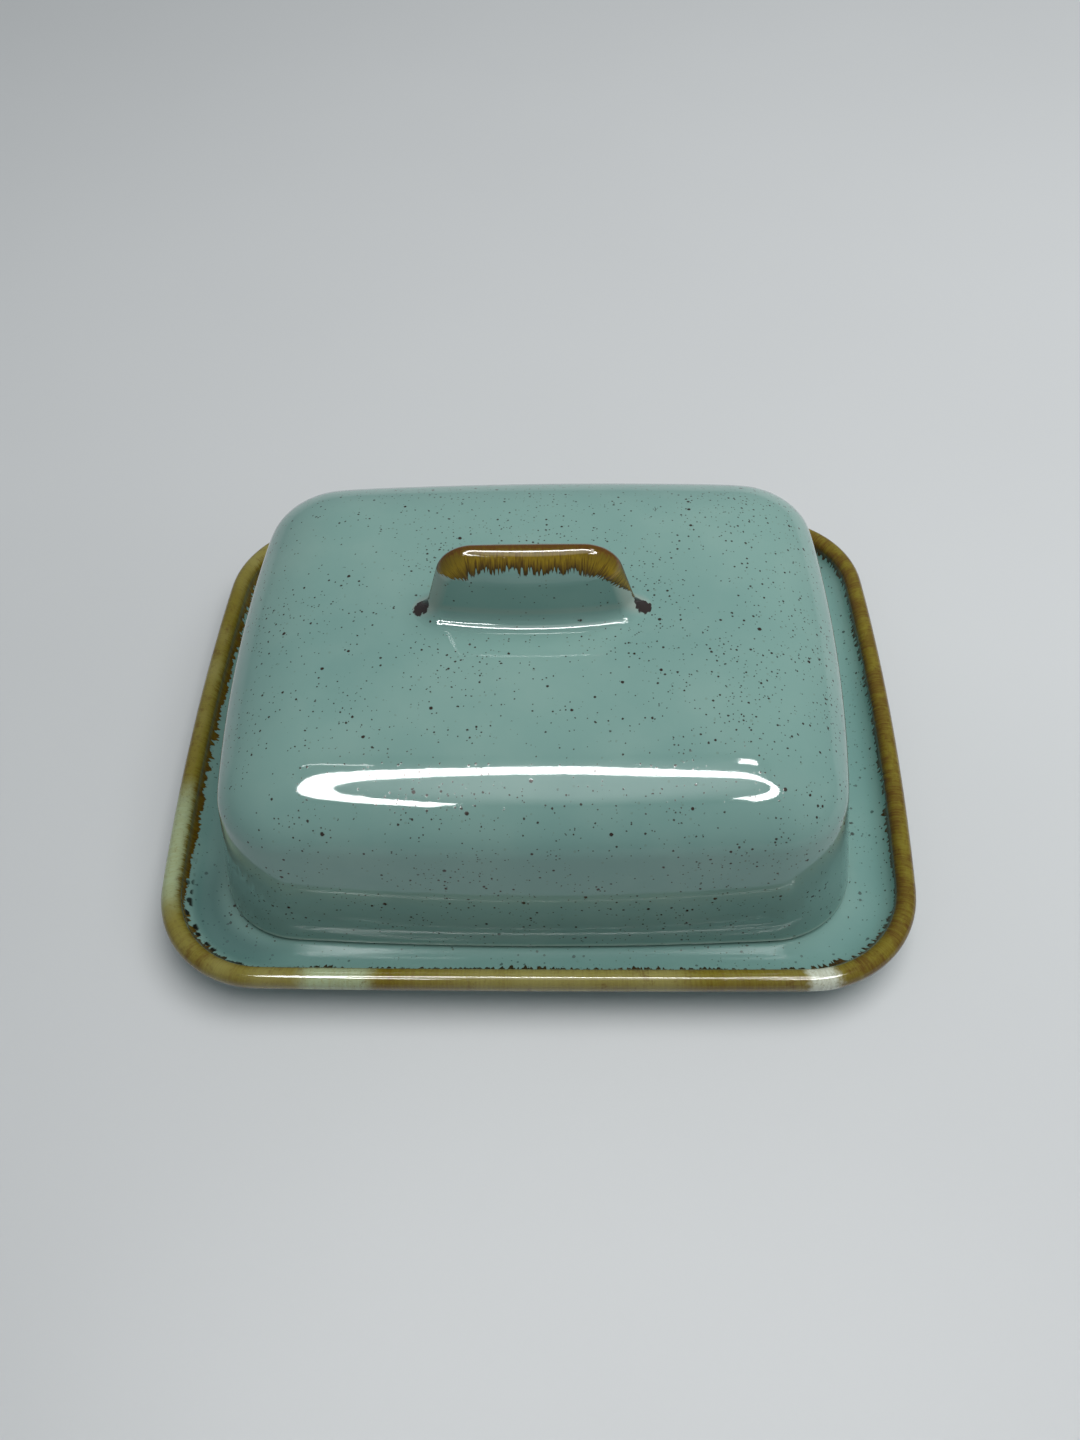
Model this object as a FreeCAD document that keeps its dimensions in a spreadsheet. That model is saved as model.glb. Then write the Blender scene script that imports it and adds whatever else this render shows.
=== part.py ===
import FreeCAD, Part
import math
import os
import Sketcher

# A butter dish of glazed stoneware: a shallow rounded-rectangular dish on a foot
# ring, a domed cover that stands in its well, and a slab handle luted on the cover.
# Millimetres. +X runs along the dish, +Y from its front to its back, +Z up. The
# origin is the centre of the foot ring's underside.

doc = FreeCAD.newDocument("butter_dish")
sheet = doc.addObject("Spreadsheet::Sheet", "sizes")

SIZES = {
    # the dish, over the outside of its rim
    "dish_length": 180.0,
    "dish_width": 147.4,
    "dish_corner": 26.2,  # radius of a corner, in plan
    "dish_long_bow": 6000.0,  # radius that the front and back edges are swept to
    "dish_short_bow": 741.0,  # radius that the two end edges are swept to
    "rim_width": 4.6,  # thickness of the rolled rim
    "rim_round": 2.1,  # radius on both of the rim's edges
    "well_run": 6.4,  # how far the well's curved wall reaches in from the rim
    "well_depth": 6.8,  # rim top down to the flat of the well
    "floor_thickness": 4.6,
    "foot_height": 2.6,
    "foot_inset": 17.0,  # rim's outer edge in to the foot ring's outer face
    "foot_width": 4.6,
    "foot_round": 0.8,
    "flare_step": 1.0,  # ledge between the foot ring and the flaring underside
    # the cover
    "end_play": 2.0,  # clearance along X, cover's lip to the start of the well's wall
    "side_play": 0.9,  # the same clearance along Y
    "seat_gap": 0.25,  # fired clay never sits quite flat in the well
    "cover_height": 48.0,  # lip to the flat that the handle stands on
    "cover_wall": 4.2,
    "cover_corner": 20.0,
    "cover_corner_loss": 0.5,  # radius a corner loses for each millimetre of inset
    "cover_long_bow": 980.0,
    "cover_short_bow": 386.0,
    "wall_lean": 8.4,  # degrees that the walls lean in
    "shoulder_reach": 24.0,  # the shoulder is a quarter ellipse: this far in
    "shoulder_drop": 13.4,  # and this far down
    "crown_rise": 4.4,  # what the crowned top adds over the shoulder
    "lip_round": 1.3,
    # the handle
    "handle_length": 49.0,  # at its foot, without the flare
    "handle_thickness": 8.4,
    "handle_height": 19.6,
    "handle_lean": 16.0,  # degrees that its two ends lean in
    "handle_corner": 9.0,
    "handle_flare": 3.6,  # radius of the fillet where it meets the cover
    "handle_edge": 4.0,  # radius that rounds its edges over
    "foot_border": 0.3,  # flat left round the flare
    "foot_bulge": 0.15,  # how far the foot's long sides bow out
    "foot_depth": 0.6,  # how deep the handle's foot is let into the cover
    "foot_corner": 6.5,
}
for row, (name, value) in enumerate(SIZES.items(), start=1):
    sheet.set(f"A{row}", name)
    sheet.set(f"B{row}", str(value))
    sheet.setAlias(f"B{row}", name)
doc.recompute()


def size(expression):
    """The present value of an expression in the sheet's sizes."""
    value = sheet.evalExpression(expression)
    return float(getattr(value, "Value", value))


def new_body(label, height):
    """An empty body whose own origin stands at a height on the dish's axis."""
    body = doc.addObject("PartDesign::Body", label)
    body.Label = label
    body.Placement = FreeCAD.Placement()
    body.setExpression("Placement.Base.z", height)
    return body


def new_sketch(body, name, plane, height="0"):
    """A sketch on one of the body's own origin planes, raised along its normal."""
    sketch = body.newObject("Sketcher::SketchObject", name)
    support = [f for f in body.Origin.OriginFeatures if f.Role == plane][0]
    sketch.AttachmentSupport = [(support, "")]
    sketch.MapMode = "FlatFace"
    sketch.setExpression("AttachmentOffset.Base.z", height)
    return sketch


def measure(sketch, kind, *where, length):
    """A dimension of the sketch, driven by an expression in the sheet's sizes."""
    number = sketch.addConstraint(Sketcher.Constraint(kind, *where, size(length)))
    sketch.setExpression(f"Constraints[{number}]", length)


def ring(body, name, height, half_x, half_y, corner, long_bow, short_bow):
    """A rounded rectangle with slightly bowed sides: eight arcs, each tangent to the
    next. Every size is an expression."""
    sketch = new_sketch(body, name, "XY_Plane", height)
    a, b, r = size(half_x), size(half_y), size(corner)
    long_r, short_r = size(long_bow), size(short_bow)
    # the corner's centre is where the two side arcs, taken in by r, meet
    front = FreeCAD.Vector(0, long_r - b, 0)
    right = FreeCAD.Vector(a - short_r, 0, 0)
    reach = (right - front).Length
    along = ((long_r - r) ** 2 - (short_r - r) ** 2 + reach**2) / (2 * reach)
    across = math.sqrt((long_r - r) ** 2 - along**2)
    unit = (right - front).normalize()
    centre = front + unit * along + FreeCAD.Vector(-unit.y, unit.x, 0) * across
    if centre.x < 0:
        centre = front + unit * along - FreeCAD.Vector(-unit.y, unit.x, 0) * across
    long_turn = math.asin(centre.x / (long_r - r))
    short_turn = math.asin(-centre.y / (short_r - r))
    quarter = math.pi / 2
    for turn, (radius, middle, half_turn) in enumerate(
        [
            (long_r, (0, long_r - b), long_turn),
            (short_r, (a - short_r, 0), short_turn),
            (long_r, (0, b - long_r), long_turn),
            (short_r, (short_r - a, 0), short_turn),
        ]
    ):
        facing = (turn - 1) * quarter
        next_half = short_turn if half_turn == long_turn else long_turn
        corner_x = centre.x if turn in (0, 1) else -centre.x
        corner_y = centre.y if turn in (0, 3) else -centre.y
        for r_arc, at, start, end in (
            (radius, middle, facing - half_turn, facing + half_turn),
            (r, (corner_x, corner_y), facing + half_turn, facing + quarter - next_half),
        ):
            circle = Part.Circle(FreeCAD.Vector(*at, 0), FreeCAD.Vector(0, 0, 1), r_arc)
            sketch.addGeometry(Part.ArcOfCircle(circle, start, end), False)
    for arc in range(8):
        sketch.addConstraint(Sketcher.Constraint("Tangent", arc, 2, (arc + 1) % 8, 1))
    for arc in (3, 5, 7):
        sketch.addConstraint(Sketcher.Constraint("Equal", 1, arc))
    sketch.addConstraint(Sketcher.Constraint("Equal", 0, 4))
    sketch.addConstraint(Sketcher.Constraint("Equal", 2, 6))
    for arc, axis in ((0, -2), (4, -2), (2, -1), (6, -1)):
        sketch.addConstraint(Sketcher.Constraint("PointOnObject", arc, 3, axis))
    measure(sketch, "Radius", 0, length=long_bow)
    measure(sketch, "Radius", 2, length=short_bow)
    measure(sketch, "Radius", 1, length=corner)
    measure(sketch, "DistanceY", -1, 1, 0, 3, length=f"{long_bow} - ({half_y})")
    measure(sketch, "DistanceY", 4, 3, -1, 1, length=f"{long_bow} - ({half_y})")
    measure(sketch, "DistanceX", 2, 3, -1, 1, length=f"{short_bow} - ({half_x})")
    measure(sketch, "DistanceX", -1, 1, 6, 3, length=f"{short_bow} - ({half_x})")
    return sketch


def loft(body, kind, name, rings):
    """A skin through a stack of rings, added to the body or cut out of it. Two rings
    give a straight wall and more give a smooth curve."""
    feature = body.newObject(kind, name)
    feature.Profile = rings[0]
    feature.Sections = rings[1:]
    feature.Ruled = len(rings) == 2
    doc.recompute()
    return feature


def grow(body, kind, name, outline, length, upward=True):
    """A pad or pocket of one outline, straight up or down."""
    feature = body.newObject(kind, name)
    feature.Profile = outline
    # left alone, a pad goes up and a pocket goes down
    feature.Reversed = upward != (kind == "PartDesign::Pad")
    feature.setExpression("Length", length)
    doc.recompute()
    return feature


def edges_where(shape, test):
    """The names of the edges whose bounding box passes the test."""
    return [f"Edge{n}" for n, edge in enumerate(shape.Edges, start=1) if test(edge.BoundBox)]


def fillet(body, name, base, test, radius):
    """Rounds the base feature's edges that pass the test."""
    names = edges_where(base.Shape, test)
    if not names:
        raise RuntimeError(f"{name} found no edges")
    feature = body.newObject("PartDesign::Fillet", name)
    feature.Base = (base, names)
    feature.Radius = size(radius)
    feature.setExpression("Radius", radius)
    doc.recompute()
    return feature


def flat_at(height):
    """A test for edges that lie level, at one height."""
    return lambda box: abs(box.ZMin - height) < 1e-3 and abs(box.ZMax - height) < 1e-3


# ---- the dish -------------------------------------------------------------------

FLOOR = "(sizes.foot_height + sizes.floor_thickness)"  # height of the well's flat
RIM = f"({FLOOR} + sizes.well_depth)"  # height of the rim's top
BAND = "(sizes.rim_width / 2)"  # the rim's upright part, which its rounding stays in
BEAD = f"({RIM} - {BAND})"
QUARTER_STEPS = (0, 18, 36, 54, 72, 90)  # degrees at which a curved wall has a ring


def dish_ring(name, height, inset):
    """A ring that runs parallel to the dish's outer edge."""
    return ring(
        dish,
        name,
        height,
        f"sizes.dish_length / 2 - {inset}",
        f"sizes.dish_width / 2 - {inset}",
        f"sizes.dish_corner - {inset} * 0.8",
        "sizes.dish_long_bow",
        "sizes.dish_short_bow",
    )


def curved_wall(name, outer_inset, run, low, rise):
    """Rings up a wall that leaves level and arrives upright: a quarter ellipse."""
    rings = []
    for step in QUARTER_STEPS:
        height = f"{low} + {rise} * (1 - cos({step} deg))"
        inset = f"({outer_inset} + {run} * (1 - sin({step} deg)))"
        rings.append(dish_ring(f"{name}_{step}", height, inset))
    return rings


dish = new_body("dish", "0")
underside = curved_wall(
    "underside",
    "0",
    "(sizes.foot_inset - sizes.flare_step)",
    "sizes.foot_height",
    f"({BEAD} - sizes.foot_height)",
)
loft(dish, "PartDesign::AdditiveLoft", "flared_slab", underside)
band = dish_ring("band_outline", BEAD, "0")
grow(dish, "PartDesign::Pad", "rim_band", band, BAND)
foot_outline = dish_ring("foot_outline", "0", "sizes.foot_inset")
foot = grow(dish, "PartDesign::Pad", "foot_pad", foot_outline, "sizes.foot_height")

recess_outline = dish_ring("recess_outline", "0", "(sizes.foot_inset + sizes.foot_width)")
recess = grow(dish, "PartDesign::Pocket", "foot_recess", recess_outline, "sizes.foot_height")
if recess.Shape.Volume > foot.Shape.Volume - 1:
    raise RuntimeError("the recess inside the foot ring cuts nothing")

mouth_outline = dish_ring("mouth_outline", BEAD, "sizes.rim_width")
mouth = grow(dish, "PartDesign::Pocket", "mouth", mouth_outline, BAND)
well_rings = curved_wall(
    "well",
    "sizes.rim_width",
    "sizes.well_run",
    FLOOR,
    f"({BEAD} - {FLOOR})",
)
well = loft(dish, "PartDesign::SubtractiveLoft", "well", well_rings)
if well.Shape.Volume > mouth.Shape.Volume - 1:
    raise RuntimeError("the well cuts nothing")
rim = fillet(dish, "rolled_rim", well, flat_at(size(RIM)), "sizes.rim_round")
fillet(dish, "foot_edges", rim, flat_at(0), "sizes.foot_round")

# ---- the cover ------------------------------------------------------------------

# Its lip follows the well's flat, less the play that lets it drop in.
LIP_X = "(sizes.dish_length / 2 - sizes.rim_width - sizes.well_run - sizes.end_play)"
LIP_Y = "(sizes.dish_width / 2 - sizes.rim_width - sizes.well_run - sizes.side_play)"
# The handle's foot, and the flat on the crown that takes it.
FOOT_X = "(sizes.handle_length / 2 + sizes.handle_flare + sizes.foot_border)"
FOOT_Y = "(sizes.handle_thickness / 2 + sizes.handle_flare + sizes.foot_border)"
SEAT_BORDER = "sizes.foot_border"
# The foot's front and back bow out by the same little at any length of handle.
FOOT_BOW = f"({FOOT_X} * {FOOT_X} / (2 * sizes.foot_bulge))"

SHOULDER_STEPS = (6, 20, 35, 50, 65, 80, 90)  # degrees round the shoulder's ellipse
CROWN_STEPS = (0, 0.35, 0.7, 1)  # shares of the way from the shoulder to the seat


def cover_ring(name, height, half_x, half_y, inset):
    """A ring of the cover. Its corner tightens as the ring is taken in."""
    return ring(
        cover,
        name,
        height,
        half_x,
        half_y,
        f"sizes.cover_corner - sizes.cover_corner_loss * {inset}",
        "sizes.cover_long_bow",
        "sizes.cover_short_bow",
    )


def dome(name, skin):
    """The rings of the straight wall, the shoulder and the crown, as an outer form
    (skin 0) or as the hollow inside it (skin the wall's thickness). Each of the three
    has evenly spread rings, which keeps a smooth skin through them from bulging."""
    first = SHOULDER_STEPS[0]
    reach = f"(sizes.shoulder_reach - {skin})"
    drop = f"(sizes.shoulder_drop - {skin})"
    top = f"(sizes.cover_height - {skin})"
    wall_top = f"({top} - sizes.crown_rise - {drop} * (1 - sin({first} deg)))"
    wall_inset = f"({wall_top} * tan(sizes.wall_lean * 1 deg))"
    wall = []
    for share in (0, 1):
        inset = f"({skin} + {wall_inset} * {share})"
        half_x, half_y = f"{LIP_X} - {inset}", f"{LIP_Y} - {inset}"
        height = f"{wall_top} * {share}"
        wall.append(cover_ring(f"{name}_wall_{share}", height, half_x, half_y, inset))
    shoulder = []
    # the crown is a parabola over the way in from the wall's top to the seat
    shoulder_end = f"({skin} + {wall_inset} + {reach} * cos({first} deg))"
    way_in = f"({LIP_Y} - {skin} - {wall_inset} - {FOOT_Y})"
    for step in SHOULDER_STEPS:
        from_wall = f"({reach} * (cos({first} deg) - cos({step} deg)))"
        inset = f"({skin} + {wall_inset} + {from_wall})"
        left = f"(1 - {from_wall} / {way_in})"
        shoulder.append(
            cover_ring(
                f"{name}_shoulder_{step}",
                f"{wall_top} + {drop} * (sin({step} deg) - sin({first} deg))"
                f" + sizes.crown_rise * (1 - {left} * {left})",
                f"{LIP_X} - {inset}",
                f"{LIP_Y} - {inset}",
                inset,
            )
        )
    crown = []
    for share in CROWN_STEPS:
        half_x = f"(({LIP_X} - {shoulder_end}) * {1 - share} + ({FOOT_X} + {SEAT_BORDER}) * {share})"
        half_y = f"(({LIP_Y} - {shoulder_end}) * {1 - share} + ({FOOT_Y} + {SEAT_BORDER}) * {share})"
        start = f"(1 - {reach} * cos({first} deg) / {way_in})"
        left = f"({start} * {1 - share})"
        corner = (
            f"(sizes.cover_corner - sizes.cover_corner_loss * {shoulder_end}) * {1 - share}"
            f" + sizes.foot_corner * {share}"
        )
        crown.append(
            ring(
                cover,
                f"{name}_crown_{int(share * 100)}",
                f"{top} - sizes.crown_rise * {left} * {left}",
                half_x,
                half_y,
                corner,
                "sizes.cover_long_bow",
                "sizes.cover_short_bow",
            )
        )
    return wall, shoulder, crown


cover = new_body("cover", f"{FLOOR} + sizes.seat_gap")
for part_name, rings in zip(("walls", "shoulder", "crown"), dome("outer", "0")):
    form = loft(cover, "PartDesign::AdditiveLoft", part_name, rings)
for part_name, rings in zip(("walls", "shoulder", "crown"), dome("inner", "sizes.cover_wall")):
    hollow = loft(cover, "PartDesign::SubtractiveLoft", f"hollow_{part_name}", rings)
if hollow.Shape.Volume > form.Shape.Volume * 0.6:
    raise RuntimeError("the cover is not hollow")


def handle_foot(body, name, height):
    """The outline of the handle's foot."""
    return ring(
        body,
        name,
        height,
        FOOT_X,
        FOOT_Y,
        "sizes.foot_corner",
        FOOT_BOW,
        "sizes.cover_short_bow",
    )


seat_outline = handle_foot(cover, "seat_outline", "sizes.cover_height")
seat = grow(
    cover, "PartDesign::Pocket", "handle_seat", seat_outline, "sizes.foot_depth", upward=False
)
if seat.Shape.Volume > hollow.Shape.Volume - 1:
    raise RuntimeError("the seat for the handle cuts nothing")
fillet(cover, "lip", seat, flat_at(0), "sizes.lip_round")

# ---- the handle -----------------------------------------------------------------

handle = new_body("handle", f"{FLOOR} + sizes.seat_gap + sizes.cover_height")
plate_outline = handle_foot(handle, "plate_outline", "-sizes.foot_depth")
grow(handle, "PartDesign::Pad", "foot_plate", plate_outline, "sizes.foot_depth")

# The slab's face: a trapezoid that stands on the foot, its two top corners rounded.
# The corners are where each leaning end and the level top are both tangent to an arc.
face = new_sketch(handle, "slab_face", "XZ_Plane")
half = size("sizes.handle_length / 2")
lean = math.radians(size("sizes.handle_lean"))
top = size("sizes.handle_height")
corner = size("sizes.handle_corner")
low = -size("sizes.foot_depth")
arc_x = half - (top - corner) * math.tan(lean) - corner / math.cos(lean)
arc_z = top - corner
end_x = arc_x + corner * math.cos(lean)
end_z = arc_z + corner * math.sin(lean)
base_x = half - low * math.tan(lean)
points = {
    "left_base": (-base_x, low),
    "right_base": (base_x, low),
    "right_end": (end_x, end_z),
    "right_top": (arc_x, top),
    "left_top": (-arc_x, top),
    "left_end": (-end_x, end_z),
}
at = {name: FreeCAD.Vector(x, z, 0) for name, (x, z) in points.items()}


def face_arc(x, start, end):
    circle = Part.Circle(FreeCAD.Vector(x, arc_z, 0), FreeCAD.Vector(0, 0, 1), corner)
    return Part.ArcOfCircle(circle, start, end)


BASE, RIGHT, RIGHT_ARC, TOP, LEFT_ARC, LEFT = range(6)
face.addGeometry(Part.LineSegment(at["left_base"], at["right_base"]), False)
face.addGeometry(Part.LineSegment(at["right_base"], at["right_end"]), False)
face.addGeometry(face_arc(arc_x, lean, math.pi / 2), False)
face.addGeometry(Part.LineSegment(at["right_top"], at["left_top"]), False)
face.addGeometry(face_arc(-arc_x, math.pi / 2, math.pi - lean), False)
face.addGeometry(Part.LineSegment(at["left_end"], at["left_base"]), False)
for kind, *where in (
    ("Coincident", BASE, 2, RIGHT, 1),
    ("Tangent", RIGHT, 2, RIGHT_ARC, 1),
    ("Tangent", RIGHT_ARC, 2, TOP, 1),
    ("Tangent", TOP, 2, LEFT_ARC, 1),
    ("Tangent", LEFT_ARC, 2, LEFT, 1),
    ("Coincident", LEFT, 2, BASE, 1),
    ("Symmetric", BASE, 1, BASE, 2, -2),
    ("Symmetric", TOP, 1, TOP, 2, -2),
    ("Equal", RIGHT_ARC, LEFT_ARC),
):
    face.addConstraint(Sketcher.Constraint(kind, *where))
measure(face, "Radius", RIGHT_ARC, length="sizes.handle_corner")
measure(face, "DistanceY", BASE, 1, -1, 1, length="sizes.foot_depth")
measure(face, "DistanceY", -1, 1, TOP, 1, length="sizes.handle_height")
HALF_BASE = "(sizes.handle_length / 2 + sizes.foot_depth * tan(sizes.handle_lean * 1 deg))"
measure(face, "DistanceX", BASE, 1, BASE, 2, length=f"2 * {HALF_BASE}")
leaning = face.addConstraint(Sketcher.Constraint("Angle", RIGHT, math.pi / 2 + lean))
face.setExpression(f"Constraints[{leaning}]", "(90 + sizes.handle_lean) * 1 deg")

slab = handle.newObject("PartDesign::Pad", "slab")
slab.Profile = face
slab.SideType = "Symmetric"
slab.setExpression("Length", "sizes.handle_thickness")
doc.recompute()

half_thick = size("sizes.handle_thickness / 2")


def slab_edge(box):
    """An edge of the slab's front or back face, above the foot."""
    on_face = abs(abs(box.YMin) - half_thick) < 1e-3 and abs(box.YMax - box.YMin) < 1e-3
    return on_face and box.ZMax > 1e-3


def foot_edge(box):
    """An edge where the slab stands on its foot."""
    inside = box.XMax < half + 0.1 and box.XMin > -half - 0.1 and box.YMax < half_thick + 0.1
    return flat_at(0)(box) and inside and box.YMin > -half_thick - 0.1


rounded = fillet(handle, "slab_edges", slab, slab_edge, "sizes.handle_edge")
fillet(handle, "flare", rounded, foot_edge, "sizes.handle_flare")

# ---- check and write ------------------------------------------------------------

doc.recompute()
for item in doc.Objects:
    if {"Invalid", "Error"} & set(item.State):
        raise RuntimeError(f"{item.Label} is {item.State}")
os.makedirs("parts", exist_ok=True)
for body in (dish, cover, handle):
    shape = body.Shape
    if shape.isNull() or not shape.isValid() or len(shape.Solids) != 1:
        raise RuntimeError(f"{body.Label} is not one valid solid")
    shape.exportStep(f"parts/{body.Label}.step")
    box = shape.optimalBoundingBox()
    print(
        f"{body.Label}: {box.XLength:.1f} x {box.YLength:.1f} x {box.ZLength:.1f} mm,"
        f" z {box.ZMin:.2f} to {box.ZMax:.2f}, {shape.Volume / 1000:.1f} cm3"
    )
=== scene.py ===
# %% [markdown]
# # A butter dish and its cover
#
# The object is two pieces of glazed stoneware that simply stand one in the other: a
# shallow dish with a rolled brown rim, and a domed cover with a slab handle on its
# crown. Everything that makes it look like itself is glaze: a turquoise glass full of
# iron specks, and a brown iron glaze that was brushed on the edges and ran.
#
# The design file holds the sizes. Here the frame is loaded, each piece is thrown
# again as a smooth mesh inside the box that the design gives it, and then glazed.

# %% Load the frame
import math

import bpy
import numpy as np
from mathutils import Matrix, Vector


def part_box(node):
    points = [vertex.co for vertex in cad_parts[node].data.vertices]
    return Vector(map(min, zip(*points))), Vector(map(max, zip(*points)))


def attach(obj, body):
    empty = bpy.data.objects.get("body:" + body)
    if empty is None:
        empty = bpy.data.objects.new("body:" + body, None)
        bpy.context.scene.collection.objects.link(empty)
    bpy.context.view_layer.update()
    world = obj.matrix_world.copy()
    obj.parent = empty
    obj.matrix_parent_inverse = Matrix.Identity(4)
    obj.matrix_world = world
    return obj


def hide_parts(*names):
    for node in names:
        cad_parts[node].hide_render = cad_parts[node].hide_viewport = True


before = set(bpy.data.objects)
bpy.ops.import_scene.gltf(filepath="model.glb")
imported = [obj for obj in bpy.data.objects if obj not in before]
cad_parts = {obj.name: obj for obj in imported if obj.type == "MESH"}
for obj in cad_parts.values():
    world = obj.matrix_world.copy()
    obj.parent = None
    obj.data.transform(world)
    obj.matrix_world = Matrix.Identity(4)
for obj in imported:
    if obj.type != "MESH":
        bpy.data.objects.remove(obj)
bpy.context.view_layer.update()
MM = 0.001  # lengths in this file are millimetres, and Blender's are metres


def node_box(node):
    """The half length, half width, lowest and highest point of a node, in mm."""
    low, high = (np.array(corner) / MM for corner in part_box(node))
    return (high[0] - low[0]) / 2, (high[1] - low[1]) / 2, low[2], high[2]


# %% [markdown]
# ## Outlines
#
# Seen from above, dish and cover are rounded rectangles whose sides bow out a little,
# because moulded clay never keeps a dead straight side. Such an outline could be a
# Bezier curve, but eight arcs that run into each other are what the mould was cut to,
# and they can be taken in ring by ring. Where two arcs meet, the bend changes at
# once, and a glossy glaze would show that as a kink in every reflection. So the ring
# is softened: its high frequencies are faded out, as slip rounds a model.

# %% A softened, bowed rectangle
PER_SIDE, PER_CORNER = 72, 40  # points along a side and round a corner
SOFTENED = 2.0  # mm over which a ring's bends are eased into each other


def soften(outline, reach):
    """Fades detail shorter than reach mm out of a closed outline of even points."""
    loop = outline[:, 0] + 1j * outline[:, 1]
    step = np.abs(np.roll(loop, -1) - loop).mean()
    waves = np.fft.fftfreq(len(loop), step) * 2 * math.pi
    loop = np.fft.ifft(np.fft.fft(loop) * np.exp(-((waves * reach) ** 2) / 2))
    return np.stack([loop.real, loop.imag], 1)


def bowed_rectangle(half_x, half_y, corner, long_bow, short_bow, reach=SOFTENED):
    """Points round a rounded rectangle, anticlockwise from the middle of its front.
    long_bow and short_bow are the radii of its long and short sides."""
    front, right = np.array([0, long_bow - half_y]), np.array([half_x - short_bow, 0])
    gap = np.linalg.norm(right - front)
    along = ((long_bow - corner) ** 2 - (short_bow - corner) ** 2 + gap**2) / (2 * gap)
    across = math.sqrt((long_bow - corner) ** 2 - along**2)
    unit = (right - front) / gap
    centre = front + unit * along + np.array([-unit[1], unit[0]]) * across
    if centre[0] < 0:
        centre = front + unit * along - np.array([-unit[1], unit[0]]) * across
    long_turn = math.asin(centre[0] / (long_bow - corner))
    short_turn = math.asin(-centre[1] / (short_bow - corner))
    down = -math.pi / 2
    arcs = [
        (front, long_bow, down, down + long_turn, PER_SIDE // 2),
        (centre, corner, down + long_turn, -short_turn, PER_CORNER),
        (right, short_bow, -short_turn, 0, PER_SIDE // 2),
    ]
    quarter = []
    for middle, radius, start, end, count in arcs:
        turn = np.linspace(start, end, count, endpoint=False)
        quarter.append(middle + radius * np.stack([np.cos(turn), np.sin(turn)], 1))
    quarter = np.concatenate(quarter)  # from the front's middle to before the right's
    last = np.array([[half_x, 0.0]])
    half = np.concatenate([quarter, last, quarter[:0:-1] * [1, -1]])
    return soften(np.concatenate([half, -half]), reach)


print("points in a ring", len(bowed_rectangle(80, 60, 20, 900, 400)))

# %% [markdown]
# ## Skins
#
# Each piece is a skin over a stack of rings. Besides its place, every point keeps
# where it lies in the glaze: the point of the edge that it belongs to, and how far
# the glaze had to run from that edge to reach it. A glaze that runs follows exactly
# those two numbers, so the brown edges can be painted with them later.

# %% Make a mesh from rings
def skin(name, rings, runs):
    """A mesh through rings of equal length, in mm, closed at both ends. runs holds,
    for each ring, the edge points and the distance run."""
    count = len(rings[0])
    points = np.concatenate(rings)
    faces = []
    for level in range(len(rings) - 1):
        low = level * count
        for i in range(count):
            j = (i + 1) % count
            faces.append((low + i, low + j, low + count + j, low + count + i))
    faces.append(tuple(range(count))[::-1])
    faces.append(tuple(range(len(points) - count, len(points))))
    return make_mesh(name, points, faces, np.concatenate(runs))


def make_mesh(name, points, faces, run):
    """A smooth object in the scene, from points in mm that keep their run."""
    mesh = bpy.data.meshes.new(name)
    mesh.from_pydata(np.asarray(points) * MM, [], faces)
    layer = mesh.attributes.new("run", "FLOAT_VECTOR", "POINT")
    layer.data.foreach_set("vector", np.asarray(run, dtype=np.float32).ravel())
    mesh.shade_smooth()
    piece = bpy.data.objects.new(name, mesh)
    bpy.context.scene.collection.objects.link(piece)
    print(name, len(mesh.vertices), "points", len(mesh.polygons), "faces")
    return piece


# %% [markdown]
# ## The dish
#
# The dish is one thickness of clay all the way: a level floor, a wall that turns up
# in a soft curve, and a rim rolled to a round bead. Underneath it flares down to a
# foot ring, the only bare clay on the piece, because glaze would stick it to the kiln
# shelf. Its half section is drawn from the middle of the underside out, over the
# bead, and in to the middle of the floor, and every point of it becomes a ring.

# %% The dish's section
DISH_X, DISH_Y, _, DISH_TOP = node_box("dish")
COVER_X, COVER_Y, COVER_LOW, COVER_TOP = node_box("cover")
SEAT_GAP = 0.25  # between the floor and the cover's lip
FLOOR = COVER_LOW - SEAT_GAP
BEAD = 2.3  # radius of the rolled rim
WELL_RUN = 6.4  # how far the well's curved wall reaches in from the bead
FOOT_HEIGHT, FOOT_INSET, FOOT_WIDTH = 2.6, 17.0, 4.6
FOOT_ROUND, FOOT_FILLET = 0.8, 0.5  # of its edges, and where it meets the underside
DISH_CORNER, DISH_LONG_BOW, DISH_SHORT_BOW = 26.2, 6000.0, 741.0
SHARPER = 0.8  # a corner's radius shrinks by this much for each mm of inset


def turn(start, end, count):
    """Evenly spread angles, given in degrees, as radians."""
    return np.radians(np.linspace(start, end, count))


def upright_first(inset, height, wide, high, angles):
    """A quarter ellipse that leaves (inset, height) upright and bends level."""
    return [(inset + wide * (1 - math.cos(a)), height + high * math.sin(a)) for a in angles]


def level_first(inset, height, wide, high, angles):
    """A quarter ellipse that starts level, wide mm in from inset, and bends upright."""
    return [(inset + wide * (1 - math.sin(a)), height + high * (1 - math.cos(a))) for a in angles]


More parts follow.
